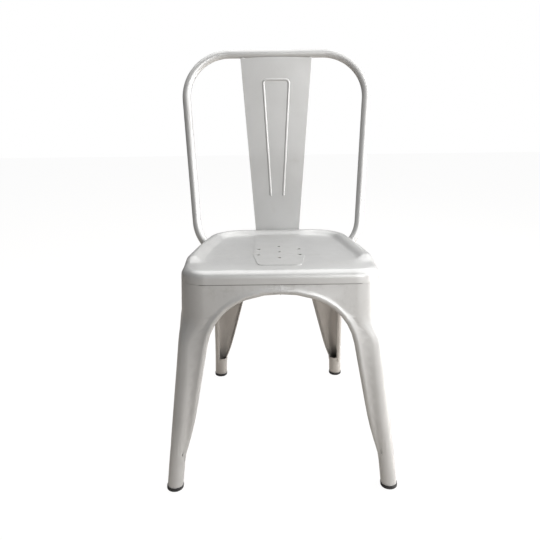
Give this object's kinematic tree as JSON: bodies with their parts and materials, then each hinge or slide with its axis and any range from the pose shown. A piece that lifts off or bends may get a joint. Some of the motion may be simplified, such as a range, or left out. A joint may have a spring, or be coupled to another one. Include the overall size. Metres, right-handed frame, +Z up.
{
  "type": "metal bistro chair",
  "caption": "Stacking bistro chair of painted pressed steel with a dished seat, a bent-tube back hoop, a flat back splat and rubber feet.",
  "frame": {"origin": "on the floor, at the middle of the chair's bounding box in plan", "axes": "+Z up, -Y the way the sitter faces, +X the chair's right as seen from in front"},
  "size_m": [0.4616, 0.5255, 0.85],
  "materials": {
    "painted_steel": "clear-coated gunmetal grey, satin gloss",
    "rubber": "matt black"
  },
  "bodies": {
    "root": {"seat_pan": "painted_steel", "front_left_leg": "painted_steel", "front_right_leg": "painted_steel", "rear_left_leg": "painted_steel", "rear_right_leg": "painted_steel", "back_hoop": "painted_steel", "back_splat": "painted_steel", "brace_lower": "painted_steel", "brace_upper": "painted_steel", "foot_front_left": "rubber", "foot_front_right": "rubber", "foot_rear_left": "rubber", "foot_rear_right": "rubber"}
  },
  "joints": []
}
